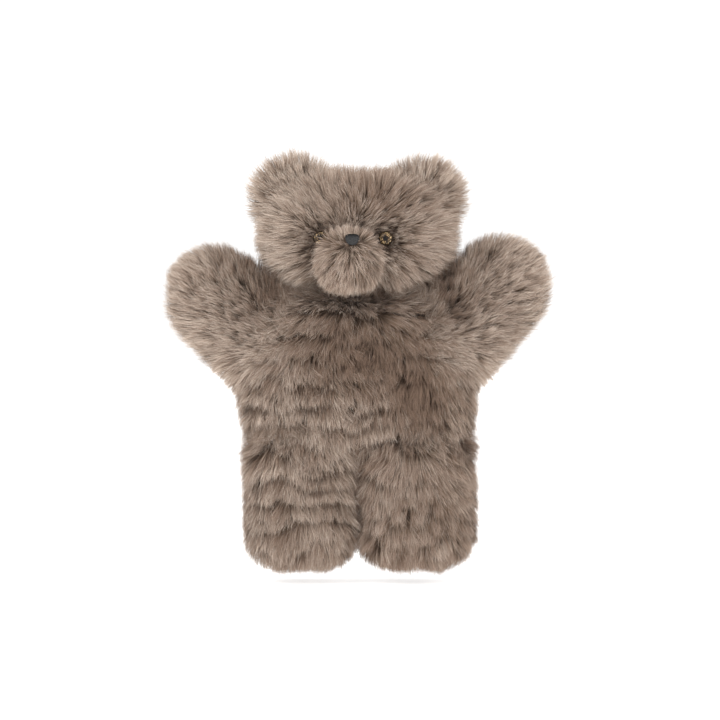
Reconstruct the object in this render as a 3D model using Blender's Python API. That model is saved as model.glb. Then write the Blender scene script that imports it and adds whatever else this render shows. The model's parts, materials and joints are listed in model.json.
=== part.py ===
"""Glove puppet in the shape of a bear, sewn from long-pile sheepskin panels.

Units are metres and +Z is up. The bear looks along -Y, and its left side is +X.
Dimensions are given from the soles (height) and from the side seam (depth), which lies
in the plane y = 0. ROW_ORIGIN then moves everything, so that the model's origin is the
middle of the hand opening in the back, where a hand holds the puppet up.

Each sheepskin panel is one solid of hide and pile together, a half shell in front of or
behind the side seam. Shells wrap the stuffing, the linings and the finger sleeves.
"""

import math

import bmesh
import bpy
from mathutils import Matrix, Vector

MM = 0.001
GAP = 0.4 * MM
SMALL = 1e-6
SEAM_PLANE = Vector((0, 0, 0))
BACK_PLANE = Vector((0, 33 * MM, 0))
SIDES = (("left", 1), ("right", -1))

# roundness of the sewn forms: 2 is an ellipsoid, and higher is boxier
BOXY = 3.2
PLUMP = 2.6
ROUND = 2.0

# torso, with the hand opening across the lower back
TORSO_CENTRE = Vector((0, 0, 139.5)) * MM
TORSO_HALF = Vector((77, 36, 47.5)) * MM
HAND_ROOM_HALF = Vector((52, 17, 37)) * MM
LINING_THICKNESS = 1.2 * MM
MOUTH_HEIGHT = 124 * MM
MOUTH_HALF_WIDTH = 44 * MM
MOUTH_HALF_HEIGHT = 14 * MM
MOUTH_CORNER = 9 * MM
ROW_ORIGIN = Vector((0, 33 * MM, MOUTH_HEIGHT))

# head and neck
NECK_PIVOT = Vector((0, 0, 190)) * MM
NECK_BALL_RADIUS = 21 * MM
NECK_HOLE_RADIUS = 18.5 * MM
NECK_TAPE_RADIUS = 16 * MM
HEAD_CENTRE = Vector((0, 0, 238)) * MM
HEAD_HALF = Vector((62, 38, 41)) * MM
HEAD_ROOM_HALF = Vector((47, 24, 28)) * MM
HEAD_SLEEVE_RADIUS = 13 * MM
HEAD_SLEEVE_FOOT = 193 * MM
HEAD_SLEEVE_TOP = 252 * MM

# face, set a little towards the bear's right as it was sewn
FACE_X = -3 * MM
EYE_SPACING_HALF = 22 * MM
EYE_HEIGHT = 231 * MM
EYE_BASE_Y = -35 * MM
EYE_RADIUS = 5 * MM
EYE_DOME = 4.2 * MM
EYE_POST_RADIUS = 1.4 * MM
EYE_RIB = 0.3 * MM
EYE_RIBS = 4
EYE_POST_END = -18.5 * MM
WASHER_RADIUS = 5 * MM
WASHER_FRONT = -20.5 * MM
WASHER_THICKNESS = 1.3 * MM
MUZZLE_CENTRE = Vector((-4, -34, 217)) * MM
MUZZLE_HALF = Vector((21, 19, 20)) * MM
MUZZLE_ROOM_HALF = Vector((13, 11, 12)) * MM
NOSE_CENTRE = Vector((-3.5, -49.4, 230.5)) * MM
NOSE_HALF_WIDTH = 5.2 * MM
NOSE_HALF_HEIGHT = 3.8 * MM
NOSE_THICKNESS = 2.2 * MM
NOSE_TILT = math.radians(-28)

# ears
EAR_CENTRE = Vector((51, 1, 263)) * MM
EAR_HALF = Vector((24, 14, 24)) * MM

# arms, from the shoulder's pivot up and out to the paw
SHOULDER = Vector((60, 0, 165)) * MM
PAW_CENTRE = Vector((102, 0, 198)) * MM
SHOULDER_RADIUS = 28 * MM
PAW_RADIUS = 31 * MM
ARM_ROOM_RADIUS = 15 * MM
ARM_SLEEVE_RADIUS = 13.4 * MM
SLEEVE_WALL = 1.3 * MM
ARM_SLEEVE_IN = 6 * MM
ARM_SLEEVE_OUT = 40 * MM
PAW_PAD_REACH = 53.5 * MM
PAW_PAD_HALF_LENGTH = 12 * MM
PAW_PAD_RADIUS = 13 * MM
SOCKET_RADIUS = 33 * MM
ARM_CLAP = (math.radians(-15), math.radians(60))
ARM_LOWER = (math.radians(-12), math.radians(45))
ARMHOLE_TAPE_RADIUS = 20 * MM
ARMHOLE_TAPE_SPHERE = 30 * MM
TAPE_RADIUS = 0.9 * MM

# legs, from the hip's axis down to the foot
HIP = Vector((41, 0, 60)) * MM
HIP_HALF = Vector((38.5, 29, 29)) * MM
FOOT_CENTRE = Vector((41, 0, 33)) * MM
FOOT_HALF = Vector((38.5, 32.5, 33)) * MM
LEG_ROOM_SHARE = 0.52

FINE = (20, 10)
COARSE = (14, 8)
RING_STEPS = 18


def clear_scene():
    for old in list(bpy.data.objects):
        bpy.data.objects.remove(old, do_unlink=True)


def make_material(name, colour, roughness, metallic=0.0):
    material = bpy.data.materials.new(name)
    material.use_nodes = True
    shader = material.node_tree.nodes["Principled BSDF"]
    shader.inputs["Base Color"].default_value = (*colour, 1.0)
    shader.inputs["Roughness"].default_value = roughness
    shader.inputs["Metallic"].default_value = metallic
    return material


def put(name, form, material, pivot=SEAM_PLANE):
    """An object holding the form, with its origin at the pivot, in the row's frame."""
    bmesh.ops.translate(form, verts=form.verts, vec=-pivot)
    bmesh.ops.recalc_face_normals(form, faces=form.faces)
    mesh = bpy.data.meshes.new(name)
    form.to_mesh(mesh)
    form.free()
    mesh.shade_smooth()
    mesh.set_sharp_from_angle(angle=math.radians(40))
    mesh.materials.append(material)
    thing = bpy.data.objects.new(name, mesh)
    thing.location = pivot - ROW_ORIGIN
    bpy.context.collection.objects.link(thing)
    return thing


def cutter(name, form):
    """A guide solid that only cuts others."""
    thing = put(name, form, CUTTER_MATERIAL)
    thing.hide_render = True
    thing.display_type = "WIRE"
    return thing


def cut(thing, *tools):
    for tool in tools:
        away = thing.modifiers.new(tool.name, "BOOLEAN")
        away.operation = "DIFFERENCE"
        away.solver = "EXACT"
        away.object = tool
    return thing


def on_form(direction, half, power):
    """Where a direction from the middle meets a rounded form of these half sizes."""
    total = sum(abs(part) ** power for part in direction)
    scale = total ** (-1 / power)
    return Vector(part * scale * size for part, size in zip(direction, half))


def unit_ball(detail):
    form = bmesh.new()
    segments, rings = detail
    bmesh.ops.create_uvsphere(form, u_segments=segments, v_segments=rings, radius=1.0)
    return form


def rounded(centre, half, power=PLUMP, detail=FINE):
    form = unit_ball(detail)
    for vert in form.verts:
        vert.co = centre + on_form(vert.co, half, power)
    return form


def limb(start, start_half, end, end_half, power=ROUND, detail=FINE):
    """A rounded form drawn out from start to end, with half of a form at each end."""
    form = unit_ball(detail)
    turn = Vector((0, 0, 1)).rotation_difference(end - start)
    for vert in form.verts:
        at_end = vert.co.z > -SMALL
        centre, half = (end, end_half) if at_end else (start, start_half)
        vert.co = centre + on_form(turn @ vert.co, half, power)
    return form


def keep_side(form, point, outward):
    """Cuts the form along a plane, drops what lies beyond it, and closes the cut."""
    everything = form.verts[:] + form.edges[:] + form.faces[:]
    found = bmesh.ops.bisect_plane(
        form,
        geom=everything,
        dist=SMALL,
        plane_co=point,
        plane_no=outward,
        clear_outer=True,
    )
    edges = [part for part in found["geom_cut"] if isinstance(part, bmesh.types.BMEdge)]
    if edges:
        bmesh.ops.edgeloop_fill(form, edges=edges)
    return form


def front_half(form):
    return keep_side(form, SEAM_PLANE - Vector((0, GAP / 2, 0)), Vector((0, 1, 0)))


def back_half(form):
    form = keep_side(form, SEAM_PLANE + Vector((0, GAP / 2, 0)), Vector((0, -1, 0)))
    return keep_side(form, BACK_PLANE, Vector((0, 1, 0)))


def turned(profile, centre, axis, steps=RING_STEPS):
    """A solid of revolution; the profile is (radius, distance along the axis) pairs."""
    form = bmesh.new()
    turn = Vector((0, 0, 1)).rotation_difference(axis)
    points = [centre + turn @ Vector((radius, 0, along)) for radius, along in profile]
    verts = [form.verts.new(point) for point in points]
    pairs = list(zip(verts, verts[1:]))
    closed = profile[0][0] > SMALL
    if closed:
        pairs.append((verts[-1], verts[0]))
    edges = [form.edges.new(pair) for pair in pairs]
    bmesh.ops.spin(
        form,
        geom=verts + edges,
        cent=centre,
        axis=axis,
        angle=math.tau,
        steps=steps,
        use_merge=True,
        use_duplicate=False,
    )
    bmesh.ops.remove_doubles(form, verts=form.verts, dist=SMALL)
    return form


def rod(start, end, radius, steps=RING_STEPS):
    length = (end - start).length
    profile = [(0, 0), (radius, 0), (radius, length), (0, length)]
    return turned(profile, start, (end - start).normalized(), steps)


def ring(centre, axis, radius, thickness, sides=6):
    """A round tape sewn into a closed loop."""
    turns = [math.tau * number / sides for number in range(sides)]
    profile = [(radius + thickness * math.cos(t), thickness * math.sin(t)) for t in turns]
    return turned(profile, centre, axis)


def finger_sleeve(foot, axis, radius, length):
    """A fabric tube, open at its foot and domed at its far end."""
    dome_steps = 4
    outside, inside = [], []
    for number in range(dome_steps + 1):
        angle = math.pi / 2 * number / dome_steps
        across, along = math.cos(angle), math.sin(angle)
        outside.append((radius * across, length - radius + radius * along))
        inner = radius - SLEEVE_WALL
        inside.append((inner * across, length - radius + inner * along))
    outside[-1] = (0, length)
    inside[-1] = (0, length - SLEEVE_WALL)
    inside.reverse()
    profile = inside + [(radius - SLEEVE_WALL, 0), (radius, 0)] + outside
    return turned(profile, foot, axis, steps=16)


def mirrored(point, side):
    return Vector((point.x * side, point.y, point.z))


def slot(half_width, half_height, corner, near, far, corner_steps=4):
    """A bar through the back with the hand opening's rounded outline."""
    form = bmesh.new()
    outline = []
    for quarter in range(4):
        side_x = 1 if quarter in (0, 3) else -1
        side_z = 1 if quarter in (0, 1) else -1
        for number in range(corner_steps + 1):
            angle = math.pi / 2 * (quarter + number / corner_steps)
            x = side_x * (half_width - corner) + corner * math.cos(angle)
            z = MOUTH_HEIGHT + side_z * (half_height - corner) + corner * math.sin(angle)
            outline.append(form.verts.new((x, near, z)))
    face = form.faces.new(outline)
    grown = bmesh.ops.extrude_face_region(form, geom=[face])
    moved = [part for part in grown["geom"] if isinstance(part, bmesh.types.BMVert)]
    bmesh.ops.translate(form, verts=moved, vec=(0, far - near, 0))
    return form


def arm_sweep(side):
    """Everywhere that an arm reaches between its limits, with room round it."""
    pivot = mirrored(SHOULDER, side)
    reach = mirrored(PAW_CENTRE, side) - pivot
    places = [pivot]
    for clap in (*ARM_CLAP, 0):
        for lower in (*ARM_LOWER, 0):
            turn = Matrix.Rotation(-clap * side, 3, "Z") @ Matrix.Rotation(lower * side, 3, "Y")
            places.append(pivot + turn @ reach)
    ball = rounded(SEAM_PLANE, Vector.Fill(3, SOCKET_RADIUS), ROUND, COARSE)
    form = bmesh.new()
    for place in places:
        for vert in ball.verts:
            form.verts.new(vert.co + place)
    ball.free()
    hull = bmesh.ops.convex_hull(form, input=form.verts[:], use_existing_faces=False)
    inside = {part for part in hull["geom_interior"] if isinstance(part, bmesh.types.BMVert)}
    bmesh.ops.delete(form, geom=list(inside), context="VERTS")
    return form


def make_torso(sweeps):
    """Two body panels round a lined room for the hand, with a bound opening behind."""
    room = cutter("hand_room", rounded(TORSO_CENTRE, HAND_ROOM_HALF))
    skin = cutter("torso_skin", rounded(TORSO_CENTRE, TORSO_HALF, BOXY))
    neck_top = Vector((0, 0, TORSO_CENTRE.z + TORSO_HALF.z + 10 * MM))
    neck_low = Vector((0, 0, TORSO_CENTRE.z + 20 * MM))
    neck_hole = cutter("neck_hole", rod(neck_low, neck_top, NECK_HOLE_RADIUS))
    mouth_near, mouth_far = 5 * MM, 60 * MM
    half_width, half_height = MOUTH_HALF_WIDTH, MOUTH_HALF_HEIGHT
    mouth_size = (half_width, half_height, MOUTH_CORNER)
    mouth = cutter("mouth", slot(*mouth_size, mouth_near, mouth_far))
    lining_half = HAND_ROOM_HALF - Vector.Fill(3, GAP)
    inner_half = lining_half - Vector.Fill(3, LINING_THICKNESS)
    lining_room = cutter("lining_room", rounded(TORSO_CENTRE, inner_half))

    front_skin = front_half(rounded(TORSO_CENTRE, TORSO_HALF, BOXY))
    cut(put("body_front_panel", front_skin, SHEEPSKIN), room, neck_hole, *sweeps)
    back_skin = back_half(rounded(TORSO_CENTRE, TORSO_HALF, BOXY))
    cut(put("body_back_panel", back_skin, SHEEPSKIN), room, neck_hole, mouth, *sweeps)
    front_lining = front_half(rounded(TORSO_CENTRE, lining_half))
    cut(put("body_lining_front", front_lining, COTTON), lining_room, neck_hole, *sweeps)
    back_lining = back_half(rounded(TORSO_CENTRE, lining_half))
    lined = put("body_lining_back", back_lining, COTTON)
    cut(lined, lining_room, neck_hole, mouth, *sweeps)

    hem_near = 13 * MM
    less = GAP
    hem_size = (half_width - less, half_height - less, MOUTH_CORNER - less)
    outer = slot(*hem_size, hem_near, BACK_PLANE.y)
    less = GAP + LINING_THICKNESS
    core_size = (half_width - less, half_height - less, MOUTH_CORNER - less)
    core = slot(*core_size, mouth_near, mouth_far)
    hem = cut(put("opening_hem", outer, COTTON), cutter("hem_core", core))
    flush = hem.modifiers.new("flush_with_back", "BOOLEAN")
    flush.operation = "INTERSECT"
    flush.solver = "EXACT"
    flush.object = skin


def make_eye(name, washer_name, x):
    centre = Vector((x, EYE_BASE_Y, EYE_HEIGHT))
    steps = 5
    profile = []
    for number in range(steps + 1):
        angle = math.pi / 2 * number / steps
        profile.append((EYE_RADIUS * math.sin(angle), -EYE_DOME * math.cos(angle)))
    post_length = EYE_POST_END - EYE_BASE_Y
    pitch = post_length / (EYE_RIBS + 1)
    profile.append((EYE_POST_RADIUS, 0))
    for number in range(1, EYE_RIBS + 1):
        profile.append((EYE_POST_RADIUS, pitch * (number - 0.3)))
        profile.append((EYE_POST_RADIUS + EYE_RIB, pitch * number))
        profile.append((EYE_POST_RADIUS, pitch * (number + 0.1)))
    profile.append((EYE_POST_RADIUS, post_length))
    profile.append((0, post_length))
    profile[0] = (0, -EYE_DOME)
    put(name, turned(profile, centre, Vector((0, 1, 0)), 16), EYE_AMBER, NECK_PIVOT)

    hole = EYE_POST_RADIUS + EYE_RIB + GAP
    washer = [(hole, 0), (WASHER_RADIUS, 0), (WASHER_RADIUS, WASHER_THICKNESS)]
    washer += [(hole, WASHER_THICKNESS)]
    place = Vector((x, WASHER_FRONT, EYE_HEIGHT))
    put(washer_name, turned(washer, place, Vector((0, 1, 0)), 16), PLASTIC, NECK_PIVOT)


def nose_form(grow, thickness):
    """A leather patch with a wide top and a narrow foot, seen from the front."""
    form = bmesh.new()
    steps = 16
    outline = []
    for number in range(steps):
        angle = math.tau * number / steps
        across, up = math.cos(angle), math.sin(angle)
        scale = (abs(across) ** PLUMP + abs(up) ** PLUMP) ** (-1 / PLUMP)
        width = (NOSE_HALF_WIDTH + grow) * (1 + 0.18 * up)
        place = (width * across * scale, thickness / 2, (NOSE_HALF_HEIGHT + grow) * up * scale)
        outline.append(form.verts.new(place))
    face = form.faces.new(outline)
    grown = bmesh.ops.extrude_face_region(form, geom=[face])
    moved = [part for part in grown["geom"] if isinstance(part, bmesh.types.BMVert)]
    bmesh.ops.translate(form, verts=moved, vec=(0, -thickness, 0))
    bmesh.ops.rotate(form, verts=form.verts, matrix=Matrix.Rotation(NOSE_TILT, 3, "X"))
    bmesh.ops.translate(form, verts=form.verts, vec=NOSE_CENTRE)
    return form


def make_face(head_skin):
    nose_seat = cutter("nose_seat", nose_form(GAP, NOSE_THICKNESS + 2 * GAP))
    put("nose_patch", nose_form(0, NOSE_THICKNESS), LEATHER, NECK_PIVOT)
    muzzle = put("muzzle_panel", rounded(MUZZLE_CENTRE, MUZZLE_HALF, ROUND), SHEEPSKIN, NECK_PIVOT)
    room = cutter("muzzle_room", rounded(MUZZLE_CENTRE, MUZZLE_ROOM_HALF, ROUND, COARSE))
    cut(muzzle, head_skin, room, nose_seat)
    fill_half = MUZZLE_ROOM_HALF - Vector.Fill(3, GAP)
    fill = rounded(MUZZLE_CENTRE, fill_half, ROUND, COARSE)
    cut(put("muzzle_stuffing", fill, FIBREFILL, NECK_PIVOT), head_skin)
    for side_name, side in SIDES:
        x = FACE_X + EYE_SPACING_HALF * side
        make_eye(f"eye_{side_name}", f"eye_washer_{side_name}", x)


def eye_seats():
    """Sunken seats and post holes in the face, and room for washers in the stuffing."""
    panel_tools, stuffing_tools = [], []
    for side_name, side in SIDES:
        x = FACE_X + EYE_SPACING_HALF * side
        front = Vector((x, -60 * MM, EYE_HEIGHT))
        base = Vector((x, EYE_BASE_Y + GAP, EYE_HEIGHT))
        inside = Vector((x, EYE_POST_END + 1 * MM, EYE_HEIGHT))
        seat = rod(front, base, EYE_RADIUS + GAP, 16)
        hole = rod(base - Vector((0, 1 * MM, 0)), inside, EYE_POST_RADIUS + EYE_RIB + GAP, 12)
        recess_front = Vector((x, WASHER_FRONT - GAP, EYE_HEIGHT))
        recess = rod(recess_front, inside, WASHER_RADIUS + GAP, 16)
        washer_room = rod(front, inside, WASHER_RADIUS + GAP, 16)
        panel_tools.append(cutter(f"eye_seat_{side_name}", seat))
        panel_tools.append(cutter(f"eye_hole_{side_name}", hole))
        panel_tools.append(cutter(f"washer_recess_{side_name}", recess))
        stuffing_tools.append(cutter(f"washer_room_{side_name}", washer_room))
    return panel_tools, stuffing_tools


def make_head():
    """Two head panels with ears and a muzzle, stuffed round a finger sleeve."""
    neck_ball_half = Vector.Fill(3, NECK_BALL_RADIUS)
    neck_ball = cutter("neck_ball", rounded(NECK_PIVOT, neck_ball_half, ROUND))
    room = cutter("head_room", rounded(HEAD_CENTRE, HEAD_ROOM_HALF))
    skin_half = HEAD_HALF + Vector.Fill(3, 2 * GAP)
    head_skin = cutter("head_skin", rounded(HEAD_CENTRE, skin_half))
    panel_tools, stuffing_tools = eye_seats()

    foot = Vector((0, 0, HEAD_SLEEVE_FOOT))
    length = HEAD_SLEEVE_TOP - HEAD_SLEEVE_FOOT
    up = Vector((0, 0, 1))
    bore_top = foot + up * (length + GAP)
    bore = cutter("head_bore", rod(foot - up * 5 * MM, bore_top, HEAD_SLEEVE_RADIUS + GAP))

    front_skin = front_half(rounded(HEAD_CENTRE, HEAD_HALF))
    front = put("head_front_panel", front_skin, SHEEPSKIN, NECK_PIVOT)
    cut(front, room, neck_ball, bore, *panel_tools)
    back_skin = back_half(rounded(HEAD_CENTRE, HEAD_HALF))
    back = put("head_back_panel", back_skin, SHEEPSKIN, NECK_PIVOT)
    cut(back, room, neck_ball, bore)
    fill_half = HEAD_ROOM_HALF - Vector.Fill(3, GAP)
    stuffing = put("head_stuffing", rounded(HEAD_CENTRE, fill_half), FIBREFILL, NECK_PIVOT)
    cut(stuffing, bore, neck_ball, *stuffing_tools)
    sleeve = finger_sleeve(foot, up, HEAD_SLEEVE_RADIUS, length)
    put("head_finger_sleeve", sleeve, COTTON, NECK_PIVOT)

    for side_name, side in SIDES:
        for half_name, half_of in (("front", front_half), ("back", back_half)):
            ear = half_of(rounded(mirrored(EAR_CENTRE, side), EAR_HALF, ROUND, COARSE))
            name = f"ear_{side_name}_{half_name}_panel"
            cut(put(name, ear, SHEEPSKIN, NECK_PIVOT), head_skin)
    make_face(head_skin)
    tape = ring(NECK_PIVOT, up, NECK_TAPE_RADIUS, TAPE_RADIUS)
    put("neck_seam_tape", tape, COTTON, NECK_PIVOT)


def make_arm(side_name, side):
    """Two arm panels round a finger sleeve, with a small pad of stuffing in the paw."""
    pivot = mirrored(SHOULDER, side)
    paw = mirrored(PAW_CENTRE, side)
    along = (paw - pivot).normalized()
    shoulder_half = Vector.Fill(3, SHOULDER_RADIUS)
    paw_half = Vector.Fill(3, PAW_RADIUS)
    room_half = Vector.Fill(3, ARM_ROOM_RADIUS)
    room_form = limb(pivot - along * 40 * MM, room_half, paw, room_half, detail=COARSE)
    room = cutter(f"arm_{side_name}_room", room_form)
    for half_name, half_of in (("front", front_half), ("back", back_half)):
        shell = half_of(limb(pivot, shoulder_half, paw, paw_half))
        cut(put(f"arm_{side_name}_{half_name}_panel", shell, SHEEPSKIN, pivot), room)

    foot = pivot - along * ARM_SLEEVE_IN
    sleeve = finger_sleeve(foot, along, ARM_SLEEVE_RADIUS, ARM_SLEEVE_IN + ARM_SLEEVE_OUT)
    put(f"arm_{side_name}_finger_sleeve", sleeve, COTTON, pivot)

    pad_centre = pivot + along * PAW_PAD_REACH
    pad = unit_ball(COARSE)
    turn = Vector((0, 0, 1)).rotation_difference(along)
    pad_half = Vector((PAW_PAD_RADIUS, PAW_PAD_RADIUS, PAW_PAD_HALF_LENGTH))
    for vert in pad.verts:
        vert.co = pad_centre + turn @ on_form(vert.co, pad_half, ROUND)
    put(f"paw_{side_name}_stuffing", pad, FIBREFILL, pivot)

    offset = math.sqrt(ARMHOLE_TAPE_SPHERE**2 - ARMHOLE_TAPE_RADIUS**2)
    tape = ring(pivot - along * offset, along, ARMHOLE_TAPE_RADIUS, TAPE_RADIUS)
    put(f"armhole_{side_name}_seam_tape", tape, COTTON, pivot)


def make_leg(side_name, side):
    """Two leg panels round a pad of stuffing."""
    hip = mirrored(HIP, side)
    foot = mirrored(FOOT_CENTRE, side)
    room_hip, room_foot = HIP_HALF * LEG_ROOM_SHARE, FOOT_HALF * LEG_ROOM_SHARE
    room_form = limb(hip, room_hip, foot, room_foot, PLUMP, COARSE)
    room = cutter(f"leg_{side_name}_room", room_form)
    for half_name, half_of in (("front", front_half), ("back", back_half)):
        shell = half_of(limb(hip, HIP_HALF, foot, FOOT_HALF, PLUMP))
        cut(put(f"leg_{side_name}_{half_name}_panel", shell, SHEEPSKIN, hip), room)
    gap = Vector.Fill(3, GAP)
    fill = limb(hip, room_hip - gap, foot, room_foot - gap, PLUMP, COARSE)
    put(f"leg_{side_name}_stuffing", fill, FIBREFILL, hip)


clear_scene()
SHEEPSKIN = make_material("sheepskin", (0.27, 0.215, 0.17), 0.9)
COTTON = make_material("cotton", (0.42, 0.36, 0.29), 0.95)
FIBREFILL = make_material("fibrefill", (0.8, 0.8, 0.78), 1.0)
LEATHER = make_material("nose_leather", (0.06, 0.058, 0.056), 0.5)
EYE_AMBER = make_material("eye_amber", (0.32, 0.16, 0.05), 0.12)
PLASTIC = make_material("washer_plastic", (0.75, 0.75, 0.72), 0.4)
CUTTER_MATERIAL = make_material("cutter", (0.5, 0.5, 0.5), 0.5)

arm_sweeps = [cutter(f"arm_{name}_sweep", arm_sweep(side)) for name, side in SIDES]
make_torso(arm_sweeps)
make_head()
for part_side, sign in SIDES:
    make_arm(part_side, sign)
    make_leg(part_side, sign)
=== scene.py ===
"""A bear glove puppet in long-pile sheepskin: looks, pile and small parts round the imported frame."""
import json
import math

import bmesh
import bpy
import numpy as np
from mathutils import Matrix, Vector


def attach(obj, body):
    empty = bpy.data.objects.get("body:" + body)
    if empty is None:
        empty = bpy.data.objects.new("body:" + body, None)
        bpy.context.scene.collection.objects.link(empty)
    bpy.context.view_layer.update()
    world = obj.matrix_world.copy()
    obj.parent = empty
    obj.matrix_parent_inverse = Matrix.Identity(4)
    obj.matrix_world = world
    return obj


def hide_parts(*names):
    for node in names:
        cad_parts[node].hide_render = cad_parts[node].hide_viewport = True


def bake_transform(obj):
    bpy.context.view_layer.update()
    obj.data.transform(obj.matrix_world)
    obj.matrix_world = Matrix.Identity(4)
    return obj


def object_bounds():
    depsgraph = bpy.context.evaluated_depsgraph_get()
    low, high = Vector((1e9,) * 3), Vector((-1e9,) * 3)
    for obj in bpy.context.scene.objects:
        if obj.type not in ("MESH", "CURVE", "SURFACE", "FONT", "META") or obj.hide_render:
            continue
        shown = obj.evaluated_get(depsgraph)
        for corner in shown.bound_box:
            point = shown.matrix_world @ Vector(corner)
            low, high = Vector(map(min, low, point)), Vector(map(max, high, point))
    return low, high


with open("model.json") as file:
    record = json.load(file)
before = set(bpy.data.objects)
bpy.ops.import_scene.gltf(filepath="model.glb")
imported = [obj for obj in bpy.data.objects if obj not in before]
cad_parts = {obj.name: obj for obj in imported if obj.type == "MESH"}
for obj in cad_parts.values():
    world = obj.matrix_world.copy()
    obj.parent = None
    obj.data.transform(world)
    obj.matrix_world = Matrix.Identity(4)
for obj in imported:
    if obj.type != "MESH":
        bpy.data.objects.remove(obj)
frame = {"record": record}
cad_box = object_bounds()

MM = 0.001
JOINTS = {joint["name"]: Vector(joint["pos_m"]) for joint in frame["record"]["behaviour"]["joints"]}
SOLE_Z = cad_box[0][2]
SEAM_Y = JOINTS["head_turn"].y


def at(x, y, z):
    """A place in millimetres across the middle, behind the side seam and above the soles."""
    return Vector((x * MM, SEAM_Y + y * MM, SOLE_Z + z * MM))


def size(x, y, z):
    return Vector((x, y, z)) * MM


# ---------------------------------------------------------------- camera and studio

# the camera looks straight at the front; VIEW_WIDTH is what it takes in across the puppet, in metres
LENS = 100
SENSOR = 36
VIEW_WIDTH = 0.497
VIEW_CENTRE = at(1.7, 0, 149)

LAMP_WIDTH = 1.6
KEY_WATTS = 16
FILL_WATTS = 8
BACKDROP_STRENGTH = 1.12
FLOOR_SIZE = 40
FLOOR_GLOW = 0.62
# the floor lies this far under the soles, so that the pile's tips clear it
FLOOR_DROP = 4 * MM

camera_data = bpy.data.cameras.new("studio_camera")
camera_data.lens = LENS
camera_data.sensor_width = SENSOR
camera_data.clip_start = 0.05
camera = bpy.data.objects.new("studio_camera", camera_data)
camera.location = VIEW_CENTRE - Vector((0, VIEW_WIDTH * LENS / SENSOR, 0))
camera.rotation_euler = (math.radians(90), 0, 0)
bpy.context.collection.objects.link(camera)
bpy.context.scene.camera = camera


def soft_light(name, offset, power):
    place = VIEW_CENTRE + Vector(offset)
    data = bpy.data.lights.new(name, "AREA")
    data.shape = "DISK"
    data.size = LAMP_WIDTH
    data.energy = power
    lamp = bpy.data.objects.new(name, data)
    lamp.location = place
    lamp.rotation_euler = (VIEW_CENTRE - place).to_track_quat("-Z", "Y").to_euler()
    bpy.context.collection.objects.link(lamp)


def make_studio():
    world = bpy.data.worlds.new("studio")
    world.use_nodes = True
    backdrop = world.node_tree.nodes["Background"]
    backdrop.inputs["Color"].default_value = (1, 1, 1, 1)
    backdrop.inputs["Strength"].default_value = BACKDROP_STRENGTH
    bpy.context.scene.world = world
    bpy.context.scene.view_settings.view_transform = "Standard"
    soft_light("key", (-0.9, -1.3, 1.3), KEY_WATTS)
    soft_light("fill", (1.3, -1.3, 0.4), FILL_WATTS)

    form = bmesh.new()
    bmesh.ops.create_grid(form, x_segments=1, y_segments=1, size=FLOOR_SIZE)
    bmesh.ops.translate(form, verts=form.verts, vec=(0, 0, SOLE_Z - FLOOR_DROP))
    new_piece("studio_floor", form, plain_floor())


# ---------------------------------------------------------------- shader helpers

def new_material(name):
    material = bpy.data.materials.new(name)
    material.use_nodes = True
    return material, material.node_tree.nodes, material.node_tree.links


def set_shader(shader, **values):
    """Constants on the shader's sockets, by their names with _ for a space."""
    for name, value in values.items():
        shader.inputs[name.replace("_", " ")].default_value = value


def object_place(nodes):
    return nodes.new("ShaderNodeTexCoord").outputs["Object"]


def own_uv(nodes):
    place = nodes.new("ShaderNodeUVMap")
    place.uv_map = "OFBake"
    return place.outputs["UV"]


def split_up(nodes, links, place):
    split = nodes.new("ShaderNodeSeparateXYZ")
    links.new(place, split.inputs["Vector"])
    return split.outputs


def noise_at(nodes, links, place, scale, detail=3):
    noise = nodes.new("ShaderNodeTexNoise")
    noise.inputs["Scale"].default_value = scale
    noise.inputs["Detail"].default_value = detail
    links.new(place, noise.inputs["Vector"])
    return noise.outputs["Fac"]


def ramp_of(nodes, links, factor, stops):
    """Colours along a factor from 0 to 1; stops are (place, colour) pairs."""
    ramp = nodes.new("ShaderNodeValToRGB")
    bands = ramp.color_ramp.elements
    while len(bands) < len(stops):
        bands.new(0.5)
    for band, (place, colour) in zip(bands, stops):
        band.position = place
        band.color = (*colour, 1)
    links.new(factor, ramp.inputs["Fac"])
    return ramp.outputs["Color"]


def mixed(nodes, links, first, second, share):
    """A value between two others."""
    mix = nodes.new("ShaderNodeMix")
    mix.inputs["Factor"].default_value = share
    links.new(first, mix.inputs["A"])
    links.new(second, mix.inputs["B"])
    return mix.outputs["Result"]


def mixed_colour(nodes, links, first, second, share, multiplied=False):
    """A colour between two others, or their product; second and share may be sockets or constants."""
    mix = nodes.new("ShaderNodeMix")
    mix.data_type = "RGBA"
    mix.blend_type = "MULTIPLY" if multiplied else "MIX"
    links.new(first, mix.inputs["A"])
    for value, socket in ((second, mix.inputs["B"]), (share, mix.inputs["Factor"])):
        if isinstance(value, bpy.types.NodeSocket):
            links.new(value, socket)
        else:
            socket.default_value = value
    return mix.outputs["Result"]


def raise_by(nodes, links, height, distance, strength, shader):
    bump = nodes.new("ShaderNodeBump")
    bump.inputs["Distance"].default_value = distance
    bump.inputs["Strength"].default_value = strength
    links.new(height, bump.inputs["Height"])
    links.new(bump.outputs["Normal"], shader.inputs["Normal"])


# ---------------------------------------------------------------- materials

def plain_floor():
    material, nodes, links = new_material("pale_floor")
    shader = nodes["Principled BSDF"]
    cloud = noise_at(nodes, links, object_place(nodes), 3, 2)
    stops = ((0, (0.93, 0.93, 0.93)), (1, (0.96, 0.96, 0.96)))
    links.new(ramp_of(nodes, links, cloud, stops), shader.inputs["Base Color"])
    set_shader(shader, Roughness=0.9, Specular_IOR_Level=0, Emission_Color=(1, 1, 1, 1),
               Emission_Strength=FLOOR_GLOW)
    return material


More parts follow.
